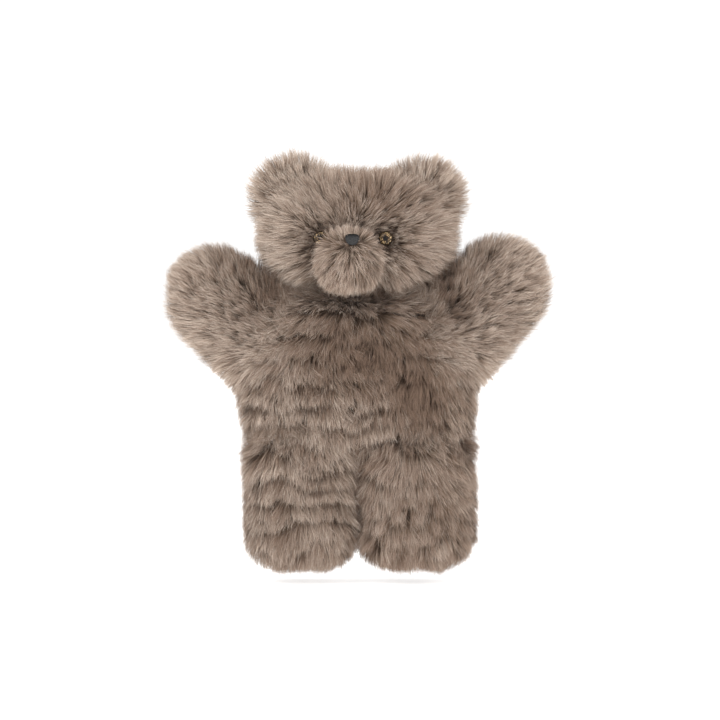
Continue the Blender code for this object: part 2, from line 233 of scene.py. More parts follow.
def sheepskin_pile():
    """Dyed wool: dark at the hide, partly as dye and partly as painted shade deep in the pile, taupe along
    the staple and paler where the tips dry out.
    """
    material, nodes, links = new_material("sheepskin_pile")
    shader = nodes["Principled BSDF"]
    parts = split_up(nodes, links, own_uv(nodes))
    dark = ramp_of(nodes, links, parts["Y"], DARK_STAPLE)
    pale = ramp_of(nodes, links, parts["Y"], PALE_STAPLE)
    links.new(mixed_colour(nodes, links, dark, pale, parts["X"]), shader.inputs["Base Color"])
    set_shader(shader, Roughness=0.62, Specular_IOR_Level=0.15, Sheen_Weight=0.15, Sheen_Roughness=0.4,
               Sheen_Tint=(0.93, 0.88, 0.83, 1))
    return material


# colours along the staple, from hide to tip; the dark at the hide is partly dye and partly painted shade deep
# in the pile
DARK_STAPLE = ((0.0, (0.05, 0.032, 0.022)), (0.3, (0.12, 0.080, 0.056)), (0.7, (0.215, 0.143, 0.102)),
               (1.0, (0.28, 0.190, 0.138)))
PALE_STAPLE = ((0.0, (0.09, 0.062, 0.046)), (0.3, (0.28, 0.208, 0.157)), (0.7, (0.57, 0.462, 0.378)),
               (1.0, (0.87, 0.755, 0.655)))


def weave_group():
    """Plain weave: raised where a warp thread crosses over a weft thread."""
    tree = bpy.data.node_groups.new("plain_weave", "ShaderNodeTree")
    for label, way, kind in (("Vector", "INPUT", "Vector"), ("Threads", "INPUT", "Float"),
                             ("Height", "OUTPUT", "Float")):
        tree.interface.new_socket(label, in_out=way, socket_type=f"NodeSocket{kind}")
    nodes, links = tree.nodes, tree.links
    inside = nodes.new("NodeGroupInput")
    outside = nodes.new("NodeGroupOutput")
    parts = split_up(nodes, links, inside.outputs["Vector"])

    def math_node(operation, first, second=None):
        node = nodes.new("ShaderNodeMath")
        node.operation = operation
        for socket, value in zip(node.inputs, (first, second)):
            if isinstance(value, (int, float)):
                socket.default_value = value
            elif value is not None:
                links.new(value, socket)
        return node.outputs[0]

    threads = inside.outputs["Threads"]
    across = math_node("ADD", parts["X"], parts["Y"])
    up = math_node("SUBTRACT", parts["Z"], math_node("MULTIPLY", parts["Y"], 0.6))
    warp = math_node("SINE", math_node("MULTIPLY", across, threads))
    weft = math_node("SINE", math_node("MULTIPLY", up, threads))
    height = math_node("MULTIPLY_ADD", math_node("MULTIPLY", warp, weft), 0.5)
    height.node.inputs[2].default_value = 0.5
    links.new(height, outside.inputs["Height"])
    return tree


def cloth(name, stops, threads):
    """Woven cotton with painted shade in the weave's hollows: threads is the weave's turns in radians a
    metre.
    """
    material, nodes, links = new_material(name)
    shader = nodes["Principled BSDF"]
    place = object_place(nodes)
    weave = nodes.new("ShaderNodeGroup")
    weave.node_tree = WEAVE
    weave.inputs["Threads"].default_value = threads
    links.new(place, weave.inputs["Vector"])
    slubs = noise_at(nodes, links, place, 160)
    # painted shade in the weave's hollows and painted light on its crossings, mixed with the yarn's own slubs
    painted_weave_shade_and_slubs = mixed(nodes, links, weave.outputs["Height"], slubs, 0.45)
    links.new(ramp_of(nodes, links, painted_weave_shade_and_slubs, stops), shader.inputs["Base Color"])
    raise_by(nodes, links, weave.outputs["Height"], 0.15 * MM, 0.6, shader)
    set_shader(shader, Roughness=0.86, Specular_IOR_Level=0.2, Sheen_Weight=0.2)
    return material


def fibre_filling():
    """Crimped polyester wadding, off-white, with painted shade in its hollows."""
    material, nodes, links = new_material("fibre_filling")
    shader = nodes["Principled BSDF"]
    place = object_place(nodes)
    coarse = noise_at(nodes, links, place, 220, 8)
    fine = noise_at(nodes, links, place, 900)
    tangle = mixed(nodes, links, coarse, fine, 0.4)
    # the tangle's low places get painted shade, its high ones the off-white
    stops = ((0.25, (0.52, 0.49, 0.44)), (0.5, (0.76, 0.74, 0.70)), (0.75, (0.88, 0.87, 0.84)))
    links.new(ramp_of(nodes, links, tangle, stops), shader.inputs["Base Color"])
    raise_by(nodes, links, tangle, 1.2 * MM, 0.8, shader)
    set_shader(shader, Roughness=0.95, Sheen_Weight=0.3)
    return material


def nose_leather():
    """Slate leather with a fine pebble grain and painted shade along its top edge."""
    material, nodes, links = new_material("nose_leather")
    shader = nodes["Principled BSDF"]
    place = object_place(nodes)
    grain = nodes.new("ShaderNodeTexVoronoi")
    grain.inputs["Scale"].default_value = 1500
    links.new(place, grain.inputs["Vector"])
    # painted shade along the nose's top edge
    top = nodes.new("ShaderNodeMapRange")
    top.inputs["From Min"].default_value = NOSE_PLACE.z + 1.0 * MM
    top.inputs["From Max"].default_value = NOSE_PLACE.z + 3.4 * MM
    links.new(split_up(nodes, links, place)["Z"], top.inputs["Value"])
    tone = mixed(nodes, links, grain.outputs["Distance"], noise_at(nodes, links, place, 500), 0.5)
    body = ramp_of(nodes, links, tone, ((0.15, (0.012, 0.012, 0.012)), (0.7, (0.042, 0.041, 0.041))))
    top_edge_shaded = mixed_colour(nodes, links, body, (0.004, 0.004, 0.004, 1), top.outputs["Result"])
    links.new(top_edge_shaded, shader.inputs["Base Color"])
    raise_by(nodes, links, grain.outputs["Distance"], 0.12 * MM, 0.7, shader)
    set_shader(shader, Roughness=0.55, Specular_IOR_Level=0.1)
    return material


def eye_glass():
    """A glossy safety eye: black pupil, gold iris with fine spokes, and a dark rim."""
    material, nodes, links = new_material("eye_amber")
    shader = nodes["Principled BSDF"]
    place = own_uv(nodes)
    spread = nodes.new("ShaderNodeMapping")
    spread.inputs["Scale"].default_value = (60, 2.5, 1)
    links.new(place, spread.inputs["Vector"])
    spokes = noise_at(nodes, links, spread.outputs["Vector"], 1.0, 2)
    flecks = noise_at(nodes, links, object_place(nodes), 1100, 1)
    iris = ramp_of(nodes, links, mixed(nodes, links, spokes, flecks, 0.6), GOLD)
    rings = ramp_of(nodes, links, split_up(nodes, links, place)["Y"], RINGS)
    links.new(mixed_colour(nodes, links, iris, rings, 1, multiplied=True), shader.inputs["Base Color"])
    set_shader(shader, Roughness=0.3, Specular_IOR_Level=0.12, Coat_Weight=0.15, Coat_Roughness=0.02)
    return material


# how bright the eye is, from the middle out to its edge, and its bronze and gold
RINGS = ((0.0, (0.03, 0.02, 0.015)), (0.28, (0.03, 0.02, 0.015)), (0.38, (0.75, 0.65, 0.55)),
         (0.70, (1.0, 1.0, 1.0)), (0.82, (0.25, 0.2, 0.15)), (0.9, (0.02, 0.015, 0.012)))
GOLD = ((0.46, (0.016, 0.010, 0.006)), (0.56, (0.08, 0.048, 0.022)), (0.63, (0.75, 0.56, 0.32)))


def moulded_nylon():
    """Cloudy white nylon of the washers, a little rough from the mould."""
    material, nodes, links = new_material("moulded_nylon")
    shader = nodes["Principled BSDF"]
    place = object_place(nodes)
    cloud = noise_at(nodes, links, place, 350, 5)
    stops = ((0.3, (0.62, 0.62, 0.59)), (0.7, (0.80, 0.80, 0.77)))
    links.new(ramp_of(nodes, links, cloud, stops), shader.inputs["Base Color"])
    raise_by(nodes, links, cloud, 0.05 * MM, 0.4, shader)
    set_shader(shader, Roughness=0.42)
    return material


# ---------------------------------------------------------------- forms

SMALL = 1e-6
HIDE_DETAIL = 4


def mesh_of(form, name):
    mesh = bpy.data.meshes.new(name)
    form.to_mesh(mesh)
    form.free()
    return mesh


def fresh_object(name, mesh):
    thing = bpy.data.objects.new(name, mesh)
    bpy.context.collection.objects.link(thing)
    return thing


def new_piece(name, form, material):
    mesh = mesh_of(form, name)
    mesh.shade_smooth()
    mesh.materials.append(material)
    return fresh_object(name, mesh)


def on_form(direction, half, power):
    """Where a direction meets a rounded box; the higher the power, the squarer the box."""
    total = sum(abs(part) ** power for part in direction)
    scale = total ** (-1 / power)
    return Vector(part * scale * length for part, length in zip(direction, half))


def hide_form(start, start_half, end=None, end_half=None, power=2.6):
    """The hide's closed surface: a rounded form, drawn out from start to end where there is an end."""
    form = bmesh.new()
    bmesh.ops.create_icosphere(form, subdivisions=HIDE_DETAIL, radius=1.0)
    end = start if end is None else end
    end_half = start_half if end_half is None else end_half
    drawn = end - start
    for vert in form.verts:
        at_end = vert.co.dot(drawn) > SMALL
        centre, half = (end, end_half) if at_end else (start, start_half)
        vert.co = centre + on_form(vert.co, half, power)
    if drawn.length > SMALL:
        bmesh.ops.smooth_vert(form, verts=form.verts, factor=0.5,
                              use_axis_x=True, use_axis_y=True, use_axis_z=True)
    form.normal_update()
    return form


def carved(form, cutters):
    """The form with others cut away from it."""
    objects = [fresh_object("carving", mesh_of(shape, "carving")) for shape in (form, *cutters)]
    for tool in objects[1:]:
        away = objects[0].modifiers.new("away", "BOOLEAN")
        away.operation = "DIFFERENCE"
        away.solver = "EXACT"
        away.object = tool
    result = bmesh.new()
    result.from_object(objects[0], bpy.context.evaluated_depsgraph_get())
    for thing in objects:
        mesh = thing.data
        bpy.data.objects.remove(thing)
        bpy.data.meshes.remove(mesh)
    return result


def places_of(mesh):
    flat = np.empty(len(mesh.vertices) * 3)
    mesh.vertices.foreach_get("co", flat)
    return flat.reshape(-1, 3)


def settled(form):
    """The hide let out under light pressure between its side seams, as cloth, by a few millimetres."""
    mesh = mesh_of(form, "settling")
    thing = fresh_object("settling", mesh)
    start = places_of(mesh)
    seam = thing.vertex_groups.new(name="seam")
    held = np.flatnonzero(np.abs(start[:, 1] - SEAM_Y) < SEAM_HELD)
    seam.add([int(number) for number in held], 1.0, "REPLACE")
    settings = thing.modifiers.new("cloth", "CLOTH").settings
    settings.quality = SETTLING_QUALITY
    settings.vertex_group_mass = "seam"
    settings.use_pressure = True
    settings.uniform_pressure_force = SETTLING_PRESSURE
    settings.effector_weights.gravity = 0
    scene = bpy.context.scene
    for frame_number in range(1, SETTLING_FRAMES + 1):
        scene.frame_set(frame_number)
    let_out = thing.evaluated_get(bpy.context.evaluated_depsgraph_get())
    moved = places_of(bpy.data.meshes.new_from_object(let_out)) - start
    reach = np.linalg.norm(moved, axis=1, keepdims=True)
    moved *= np.minimum(1, SETTLING_CAP / np.maximum(reach, SMALL))
    bpy.data.objects.remove(thing)
    scene.frame_set(1)
    mesh.vertices.foreach_set("co", (start + moved).reshape(-1))
    return mesh


SEAM_HELD = 3 * MM
SETTLING_QUALITY = 4
SETTLING_PRESSURE = 4
SETTLING_FRAMES = 16
SETTLING_CAP = 3.5 * MM
SETTLED = {}


def sewn_form(shape):
    """A fresh copy of one part's settled hide; both of its panels come from the same one."""
    key = tuple(shape["start"])
    if key not in SETTLED:
        SETTLED[key] = settled(hide_form(**shape))
    form = bmesh.new()
    form.from_mesh(SETTLED[key])
    bmesh.ops.triangulate(form, faces=form.faces)
    form.normal_update()
    return form


def shell_of(form, thickness):
    """The surface given a wall inwards, closed along any open edge."""
    form.normal_update()
    faces = list(form.faces)
    rims = [edge.link_loops[0] for edge in form.edges if edge.is_boundary]
    rims = [(loop.vert, loop.link_loop_next.vert) for loop in rims]
    inner = {vert: form.verts.new(vert.co - vert.normal * thickness) for vert in list(form.verts)}
    for first, second in rims:
        form.faces.new((second, first, inner[first], inner[second]))
    for face in faces:
        form.faces.new([inner[vert] for vert in reversed(face.verts)])
    return form


def shrunk(shape, amount):
    """The same form with its surface moved in."""
    less = Vector((amount, amount, amount))
    inner = dict(shape, start_half=shape["start_half"] - less)
    if "end_half" in shape:
        inner["end_half"] = shape["end_half"] - less
    return inner


def inside_form(points, start, start_half, end=None, end_half=None, power=2.6):
    """Below 1 inside the same form, and above it outside."""
    end = start if end is None else end
    end_half = start_half if end_half is None else end_half
    a, b = np.array(start), np.array(end)
    along = b - a
    length2 = max(float(along @ along), SMALL**2)
    t = np.clip(((points - a) @ along) / length2, 0, 1)[:, None]
    centre = a + t * along
    half = np.array(start_half) * (1 - t) + np.array(end_half) * t
    return (np.abs((points - centre) / half) ** power).sum(1) ** (1 / power)


# ---------------------------------------------------------------- pile

# shares of a fibre's length where it bends, and its width at the first three
STEPS = np.array([0.0, 0.38, 0.72, 1.0])
WIDTHS = np.array([1.0, 0.9, 0.62])
FIBRES = 6
CRIMP = 0.7 * MM
# the puppet lies on its back, so the pile there is pressed in past this plane
PRESSED_BACK = at(0, 41, 0).y
PRESSED_SHARE = 0.75


def unit(vectors):
    return vectors / np.maximum(np.linalg.norm(vectors, axis=-1, keepdims=True), 1e-12)


def ripple(points, spacing, seed, waves=7):
    """Smooth noise from -1 to 1 over a length scale, as a sum of plane waves."""
    rng = np.random.default_rng(seed)
    total = np.zeros(points.shape[:-1])
    for _ in range(waves):
        way = unit(rng.normal(size=3))
        pitch = spacing * rng.uniform(0.7, 1.6)
        total += np.sin(points @ way * (2 * math.pi / pitch) + rng.uniform(0, 2 * math.pi))
    return total / math.sqrt(waves) * 0.8


def scatter(form, count, rng):
    """Even random points on a form, with the smooth normals there."""
    corners = np.array([[vert.co[:] for vert in face.verts] for face in form.faces])
    normals = np.array([[vert.normal[:] for vert in face.verts] for face in form.faces])
    area = np.linalg.norm(np.cross(corners[:, 1] - corners[:, 0], corners[:, 2] - corners[:, 0]), axis=1)
    chosen = rng.choice(len(corners), count, p=area / area.sum())
    u, v = rng.random(count), rng.random(count)
    root = np.sqrt(u)
    share = np.stack([1 - root, root * (1 - v), root * v], axis=1)[..., None]
    return (corners[chosen] * share).sum(1), unit((normals[chosen] * share).sum(1))


def grow(points, normals, flows, looks, rng):
    """Curved tapering fibres, a tuft of them at each point.

    looks holds one value for each tuft: length, lean at the root and at the tip, turn from the
    flow, push of the tips along it, tone, and lock, the vector that its tips are drawn along.
    """
    tufts = len(points)
    flow = unit(flows - (flows * normals).sum(1, keepdims=True) * normals)
    side = np.cross(normals, flow)
    shape = (tufts, FIBRES)
    turn = looks["turn"][:, None] + rng.normal(0, 0.13, shape)
    length = looks["length"][:, None] * (1 + np.clip(rng.normal(0, 0.12, shape), -0.3, 0.24))
    lean_root = looks["lean_root"][:, None] + rng.normal(0, 0.07, shape)
    lean_tip = looks["lean_tip"][:, None] + rng.normal(0, 0.12, shape)
    change = lean_tip - lean_root
    change = np.where(np.abs(change) < 0.05, 0.05, change)

    n, f, s = (way[:, None, None, :] for way in (normals, flow, side))
    ahead = np.cos(turn)[..., None, None] * f + np.sin(turn)[..., None, None] * s
    across = np.cos(turn)[..., None, None] * s - np.sin(turn)[..., None, None] * f
    lean = lean_root[..., None] + change[..., None] * STEPS
    rise = (np.sin(lean) - np.sin(lean_root)[..., None]) / change[..., None]
    run = (np.cos(lean_root)[..., None] - np.cos(lean)) / change[..., None]
    offset = rng.normal(0, 1, (*shape, 1, 2)) * looks["spread"][:, None, None, None]
    offset = offset * (1 - 0.45 * STEPS)[:, None]
    push = looks["push"][:, None, None] * STEPS**1.3

    place = points[:, None, None, :] + offset[..., 0:1] * f + offset[..., 1:2] * s
    place = place + (length[..., None] * rise)[..., None] * n
    place = place + (length[..., None] * run + push)[..., None] * ahead
    place = place + looks["lock"][:, None, None, :] * (STEPS**1.5)[:, None]
    wave = CRIMP * np.sin(rng.uniform(0, math.tau, shape)[..., None] + STEPS * 3.6) * STEPS
    place = place + wave[..., None] * across
    place[..., 1] -= PRESSED_SHARE * np.maximum(place[..., 1] - PRESSED_BACK, 0)

    roll = rng.normal(0, 0.5, shape)[..., None, None]
    tangent = unit(np.gradient(place, axis=2))
    broad = unit(np.cos(roll) * across + np.sin(roll) * np.cross(tangent, across))
    width = looks["width"] * rng.uniform(0.75, 1.25, shape)[..., None, None] / 2
    half = broad[..., :3, :] * width * WIDTHS[:, None]
    left, right = place[..., :3, :] - half, place[..., :3, :] + half
    total = tufts * FIBRES
    verts = np.empty((total, 7, 3), np.float32)
    verts[:, 0:6:2] = left.reshape(total, 3, 3)
    verts[:, 1:6:2] = right.reshape(total, 3, 3)
    verts[:, 6] = place[..., 3, :].reshape(total, 3)
    tone = looks["tone"][:, None] + rng.normal(0, 0.15, shape)
    return verts, np.clip(tone, 0.02, 0.98).reshape(total)


# a fibre is two four-sided faces and a tip: its corners' vertices, steps along and sides across
LOOP_VERTS = np.array([0, 1, 3, 2, 2, 3, 5, 4, 4, 5, 6])
LOOP_STEPS = np.array([0, 0, 1, 1, 1, 1, 2, 2, 2, 2, 3])
LOOP_SIDES = np.array([-1, 1, 1, -1, -1, 1, 1, -1, -1, 1, 0])
UV_HALF_WIDTH = 0.004


def pelt(name, hide, verts, tone, material):
    """One piece of the hide and the fibres that grow on it; U is a fibre's tone and V runs to its tip."""
    bmesh.ops.triangulate(hide, faces=hide.faces)
    hide_mesh = mesh_of(hide, "hide")
    hide_verts = np.empty(len(hide_mesh.vertices) * 3, np.float32)
    hide_mesh.vertices.foreach_get("co", hide_verts)
    hide_verts = hide_verts.reshape(-1, 3)
    hide_loops = np.empty(len(hide_mesh.loops), np.int32)
    hide_mesh.loops.foreach_get("vertex_index", hide_loops)
    bpy.data.meshes.remove(hide_mesh)

    total = len(verts)
    first = len(hide_verts)
    loops = (np.arange(total)[:, None] * 7 + LOOP_VERTS + first).reshape(-1)
    starts = (np.arange(total)[:, None] * 11 + np.array([0, 4, 8]) + len(hide_loops)).reshape(-1)
    all_verts = np.concatenate([hide_verts, verts.reshape(-1, 3)])
    all_loops = np.concatenate([hide_loops, loops])
    all_starts = np.concatenate([np.arange(0, len(hide_loops), 3), starts])

    spread = np.ptp(hide_verts[:, 0]) + np.ptp(hide_verts[:, 2])
    low = hide_verts[:, 0].min() + hide_verts[:, 2].min()
    hide_u = 0.1 + 0.8 * (hide_verts[:, 0] + hide_verts[:, 2] - low) / spread
    hide_v = 0.01 + 0.03 * (hide_verts[:, 1] - hide_verts[:, 1].min()) / np.ptp(hide_verts[:, 1])
    hide_uv = np.stack([hide_u[hide_loops], hide_v[hide_loops]], axis=1)
    pile_u = tone[:, None] + LOOP_SIDES * UV_HALF_WIDTH
    pile_v = np.broadcast_to(0.05 + 0.94 * STEPS[LOOP_STEPS], pile_u.shape)
    pile_uv = np.stack([pile_u, pile_v], axis=2).reshape(-1, 2)
    uv = np.clip(np.concatenate([hide_uv, pile_uv]), 0.001, 0.999).astype(np.float32)

    mesh = bpy.data.meshes.new(name)
    mesh.vertices.add(len(all_verts))
    mesh.vertices.foreach_set("co", all_verts.reshape(-1))
    mesh.loops.add(len(all_loops))
    mesh.loops.foreach_set("vertex_index", all_loops.astype(np.int32))
    mesh.polygons.add(len(all_starts))
    mesh.polygons.foreach_set("loop_start", all_starts.astype(np.int32))
    layer = mesh.uv_layers.new(name="OFBake")
    layer.uv.foreach_set("vector", uv.reshape(-1))
    mesh.update(calc_edges=True)
    mesh.validate()
    mesh.shade_smooth()
    mesh.materials.append(material)
    return fresh_object(name, mesh)


# ---------------------------------------------------------------- the bear's parts

TORSO = dict(start=at(0, 0, 138), start_half=size(71.5, 22, 52), power=4.2)
HEAD = dict(start=at(0, -1, 236), start_half=size(56, 26, 32), power=2.6)
MUZZLE = dict(start=at(-5.5, -29, 217.5), start_half=size(15, 17.5, 15), power=2.8)
EARS = {1: dict(start=at(45, 0, 260), start_half=size(20.5, 8, 19), power=2.0),
        -1: dict(start=at(-44, 0, 260), start_half=size(20.5, 8, 20), power=2.0)}
ARMS = {1: dict(start=at(60, 0, 165), start_half=size(27, 19, 34), end=at(98, 0, 198.5),
                end_half=size(23, 20, 25), power=2.1),
        -1: dict(start=at(-60, 0, 162), start_half=size(27, 19, 34), end=at(-98.5, 0, 192.5),
                 end_half=size(22, 20, 24), power=2.1)}
LEGS = {1: dict(start=at(39, 0, 78), start_half=size(31.5, 22.5, 23), end=at(39.5, 0, 38),
                end_half=size(32, 23, 22), power=3.8),
        -1: dict(start=at(-37.5, 0, 78), start_half=size(30.5, 22.5, 23), end=at(-37.5, 0, 38),
                 end_half=size(30, 23, 22), power=3.8)}

SIDE_NAMES = {1: "left", -1: "right"}
HIDE_THICKNESS = 1.4 * MM
# each half is cut this little past the seam, so that the two halves overlap
SEAM_LAP = 0.07 * MM
TUFT_AREA = 2.0 * MM * MM
MOST_TUFTS = 6400
TUFT_SPREAD = 0.95 * MM
EYE_PLACES = {1: at(19, -33.5, 231), -1: at(-25, -33.5, 231)}
NOSE_PLACE = at(-3.5, -46.5, 229.5)
DOWN = np.array([0, 0, -1.0])
# where the crease between the legs runs
CREASE_X = -1.5


def half_of(form, front, filled=True):
    """The front or back half of a hide, cut along the side seam."""
    outward = Vector((0, 1 if front else -1, 0))
    seam = Vector((0, SEAM_Y, 0)) - outward * SEAM_LAP
    parts = form.verts[:] + form.edges[:] + form.faces[:]
    found = bmesh.ops.bisect_plane(form, geom=parts, dist=SMALL / 10, plane_co=seam, plane_no=outward,
                                   clear_outer=True)
    if filled:
        edges = [part for part in found["geom_cut"] if isinstance(part, bmesh.types.BMEdge)]
        bmesh.ops.edgeloop_fill(form, edges=edges)
    return form


def cover(part, body, shape, front, flow, style, seed, hidden, mouth=False):
    """Hide and pile over a part's panel: its front half, its back half, or all of it where front is None.

    hidden lists the forms that bury its pile, and mouth says that the hand opening is cut through it.
    """
    rng = np.random.default_rng(seed)
    form = sewn_form(shape)
    area = sum(face.calc_area() for face in form.faces)
    count = int(area / TUFT_AREA)
    points, normals = scatter(form, count, rng)
    keep = np.ones(count, bool) if front is None else (points[:, 1] < SEAM_Y) == front
    for other, depth in hidden:
        keep &= inside_form(points, **other) > depth
    if mouth:
        keep &= past_opening(points) > MOUTH_BARE
    points, normals = points[keep][:MOST_TUFTS], normals[keep][:MOST_TUFTS]
    looks = style(points, normals)
    if mouth:
        trimmed = np.clip(past_opening(points) / 16, 0.25, 1)
        looks["length"] *= trimmed
        looks["lean_tip"] *= 0.5 + 0.5 * trimmed
    verts, tone = grow(points, normals, flow(points, normals), looks, rng)
    hide = shell_of(form if front is None else half_of(form, front, filled=False), HIDE_THICKNESS)
    if mouth:
        hide = carved(hide, [slot_bar(6, 60)])
    piece = pelt(f"{part}_pelt", hide, verts, tone, PILE)
    placed(piece, body, f"{part}_panel")


def past_opening(points):
    """Millimetres from the hand opening's edge, and nothing inside it."""
    x, _, z = millimetres(points)
    out_x = np.maximum(np.abs(x) - MOUTH_HALF[0], 0)
    out_z = np.maximum(np.abs(z - MOUTH_HEIGHT) - MOUTH_HALF[1], 0)
    return np.hypot(out_x, out_z)


def lock_pull(points, pitch, share, seed):
    """How far each tuft's tips are drawn towards the middle of its lock."""
    rng = np.random.default_rng(seed)
    count = max(4, int(len(points) * TUFT_AREA / (pitch * MM) ** 2))
    middles = points[rng.choice(len(points), count, replace=False)]
    pull = np.empty_like(points)
    for start in range(0, len(points), 2000):
        some = points[start:start + 2000]
        gaps = ((some[:, None, :] - middles[None]) ** 2).sum(2)
        pull[start:start + 2000] = middles[gaps.argmin(1)] - some
    reach = np.linalg.norm(pull, axis=1, keepdims=True)
    pull *= np.minimum(1, pitch * MM / np.maximum(reach, SMALL))
    return pull * np.asarray(share).reshape(-1, 1)


def pile_style(points, normals, length, lean_root, lean_tip, tone, seed, tiers=0.0, lock=0.2,
               lock_pitch=6.0, width=0.30):
    """Tuft by tuft values, with slow changes over the pelt and, where asked, parted tiers with painted shade
    at each tier's top and painted light at its foot.

    Lengths are in millimetres and leans in degrees from upright; tone runs from 0, dark, to 1, pale.
    """
    count = len(points)
    rng = np.random.default_rng(seed)
    slow = ripple(points, 45 * MM, seed + 1)
    middle = ripple(points, 18 * MM, seed + 2)
    fine = ripple(points, 7 * MM, seed + 3)
    height = (points[:, 2] - SOLE_Z) / MM
    wander = 5.5 * ripple(points, 40 * MM, seed + 4) + 2.4 * ripple(points, 13 * MM, seed + 5)
    phase = ((height + wander) / TIER_PITCH) % 1.0
    facing = np.clip((np.abs(normals[:, 1]) - 0.35) / 0.5, 0, 1)
    weight = tiers * facing * np.clip(0.9 + 0.7 * ripple(points, 26 * MM, seed + 6), 0, 1)
    # painted shade at each tier's top, under the tips of the tier above, and painted light at its foot
    tier_painted_light_and_shade = weight * (0.17 - 0.44 * phase)
    root = np.radians(lean_root) + weight * (np.radians(10 + 42 * phase) - np.radians(lean_root))
    tip = np.radians(lean_tip) + weight * (np.radians(42 + 48 * phase) - np.radians(lean_tip))
    return {
        "length": length * MM * (1 + 0.06 * slow + 0.04 * fine + rng.normal(0, 0.03, count)),
        "lean_root": root + 0.08 * middle + rng.normal(0, 0.04, count),
        "lean_tip": tip + 0.12 * fine + 0.12 * middle + rng.normal(0, 0.11, count),
        "turn": 0.24 * middle + 0.28 * fine + 0.15 * slow + rng.normal(0, 0.12, count),
        "tone": tone + 0.07 * (slow + middle) + 0.09 * fine + rng.normal(0, 0.19, count) + tier_painted_light_and_shade,
        "push": weight * (phase - 0.4) * 6 * MM,
        "spread": np.full(count, TUFT_SPREAD),
        "width": width * MM,
        "lock": lock_pull(points, lock_pitch, lock, seed + 7),
    }


TIER_PITCH = 14.0


def millimetres(points):
    """Across, behind the side seam and above the soles, in millimetres."""
    return points[:, 0] / MM, (points[:, 1] - SEAM_Y) / MM, (points[:, 2] - SOLE_Z) / MM


def bump(x, z, x0, z0, wide, high):
    """A soft patch: 1 in its middle and fading out of it."""
    return np.exp(-((x - x0) / wide) ** 2 - ((z - z0) / high) ** 2)


def front_gap(points, place):
    """Millimetres from a place, as seen from the front."""
    return np.linalg.norm((points - np.array(place))[:, [0, 2]], axis=1) / MM


def flow_torso(points, normals):
    """Down the body, and outwards over the shoulders."""
    x, _, z = millimetres(points)
    out = np.clip((z - 140) / 40, 0, 1) * np.sign(x) * np.clip(np.abs(x) / 30, 0, 1)
    return np.stack([0.9 * out + 0.25 * ripple(points, 60 * MM, 11), 0 * x, -np.ones_like(x)], axis=1)


def flow_leg(side):
    """Down the leg, fanning out from its upper part, most on the bear's left leg."""
    middle = np.array(at(41 * side, 0, 85))

    def flow(points, normals):
        away = points - middle
        away[:, 1] *= 0.3
        away[:, 2] = -np.abs(away[:, 2])
        below = np.clip((96 - millimetres(points)[2]) / 20, 0.1, 1)[:, None]
        return unit(away) * below * (0.75 if side > 0 else 0.2) + DOWN * 0.7
    return flow


def flow_arm(side):
    """Along the arm to the paw, and hanging down from its lower side."""
    shape = ARMS[side]
    along = np.array((shape["end"] - shape["start"]).normalized())

    def flow(points, normals):
        lower = np.clip((shape["start"].z + 6 * MM - points[:, 2]) / (30 * MM), 0, 1)[:, None]
        return along * (1 - 0.5 * lower) + DOWN * (0.15 + 0.8 * lower)
    return flow


def flow_head(points, normals):
    """Away from the middle of the face; behind, away from the neck end and partly down."""
    away = points - np.array(at(-3, -30, 232))
    away[:, 1] *= 0.6
    back = (points[:, 1] > SEAM_Y)[:, None]
    wander = np.stack([ripple(points, 26 * MM, 12), 0 * away[:, 1], ripple(points, 22 * MM, 13)], axis=1)
    return np.where(back, unit(points - np.array(HEAD["start"])) + DOWN * 0.6, unit(away)) + 0.35 * wander


def flow_muzzle(points, normals):
    """Away from the nose, down below it and up above it."""
    away = points - np.array(NOSE_PLACE + Vector((0, 4 * MM, -4 * MM)))
    above = np.clip((points[:, 2] - NOSE_PLACE.z + 5 * MM) / (5 * MM), 0, 1)[:, None]
    return unit(away) + DOWN * 0.25 * (1 - above) - DOWN * 1.2 * above


def flow_ear(side):
    """Out from the ear's root."""
    root = np.array(at(38 * side, 0, 250))

    def flow(points, normals):
        return unit(points - root)
    return flow


def style_torso(points, normals):
    """Pile in tiers, plainer and darker at the chest and waist; painted shade darkens the crease between the
    legs and the flank under the bear's left arm.
    """
    x, y, z = millimetres(points)
    chest = np.where(y < 0, bump(x, z, 8, 158, 45, 26), 0.3 * bump(x, z, 0, 160, 50, 26))
    waist = np.where(y < 0, bump(x, z, 40, 128, 18, 20), 0)
    plain = np.clip(chest + waist, 0, 1)
    looks = pile_style(points, normals, 18, 26, 72, 0.45, 21, tiers=1 - 0.8 * plain, lock=0.25 + 0.25 * plain,
                       width=0.32)
    crease = np.exp(-((x - CREASE_X) / 4) ** 2) * np.clip((112 - z) / 12, 0, 1)
    flank = np.where(y < 0, bump(x, z, 60, 130, 25, 30), 0)
    # painted shade in the crease between the legs and on the flank under the bear's left arm; the chest and
    # waist are darker too
    looks["tone"] -= 0.68 * plain + 0.4 * crease + 0.14 * flank
    looks["length"] *= 1 - 0.35 * crease
    hip = np.clip((106 - z) / 16, 0, 1)
    looks["lean_root"] += 0.4 * hip
    looks["lean_tip"] += 0.2 * hip - 0.35 * plain
    return looks


def style_leg(side):
    """Locks on the bear's left leg, tiers on its right one; painted shade darkens the soles and the crease.
    """
    def style(points, normals):
        tiers, lock, pitch, tone = (0.15, 0.55, 9, 0.17) if side > 0 else (0.85, 0.15, 6, 0.38)
        looks = pile_style(points, normals, 16, 26, 72, tone, 31 + side, tiers=tiers, lock=lock,
                           lock_pitch=pitch)
        x, _, z = millimetres(points)
        crease = np.exp(-((x - CREASE_X) / 7) ** 2)
        # painted shade towards the soles and in the crease between the legs
        looks["tone"] -= 0.22 * np.clip((30 - z) / 26, 0, 1) + 0.4 * crease
        looks["length"] *= (1 - 0.35 * crease) * (1 + 0.12 * np.clip((z - 66) / 14, 0, 1))
        return looks
    return style


